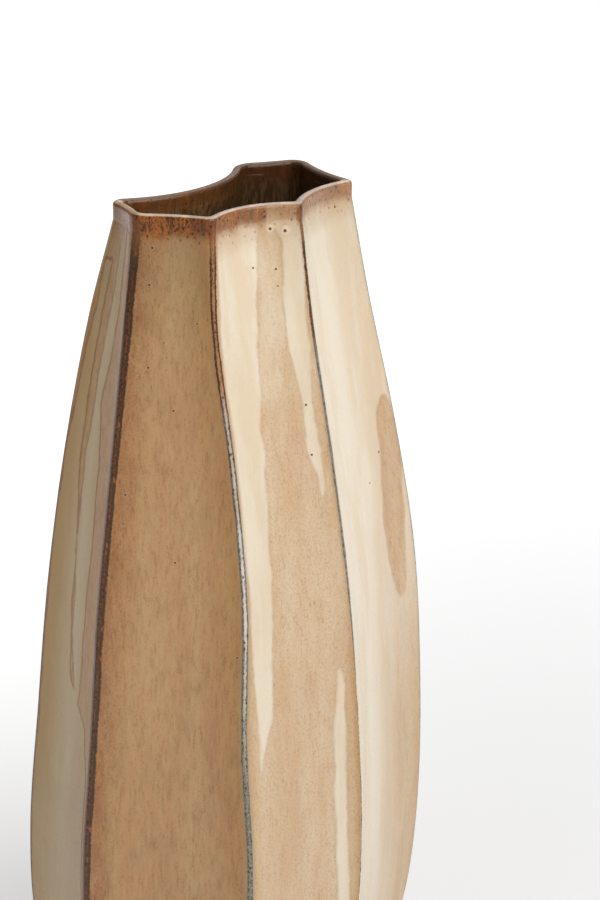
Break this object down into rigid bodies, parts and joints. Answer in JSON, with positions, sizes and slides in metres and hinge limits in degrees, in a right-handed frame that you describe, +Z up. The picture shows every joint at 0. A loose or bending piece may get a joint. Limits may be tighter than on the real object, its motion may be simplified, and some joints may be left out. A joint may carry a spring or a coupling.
{
  "type": "vase",
  "caption": "Tall flattened stoneware pillow vase with twisting ridges between pressed-in panels, a narrowed wavy rim and iron-brown glaze on the lip",
  "frame": {"origin": "on the ground, under the middle of the vase's bounding box", "axes": "+Z up; +X along the wide way of the flattened body; +Y to the back, so the two middle ridges of the front face -Y"},
  "size_m": [0.1788, 0.1349, 0.4],
  "materials": {
    "bare_stoneware": "unglazed, matt, fine grain",
    "body_glaze": "satin ash glaze, tan with cream runs",
    "rim_glaze": "satin iron-brown glaze with dark specks"
  },
  "bodies": {
    "root": {"foot_slab": "bare_stoneware", "fluted_wall": "body_glaze", "rim_glaze": "rim_glaze"}
  },
  "joints": []
}
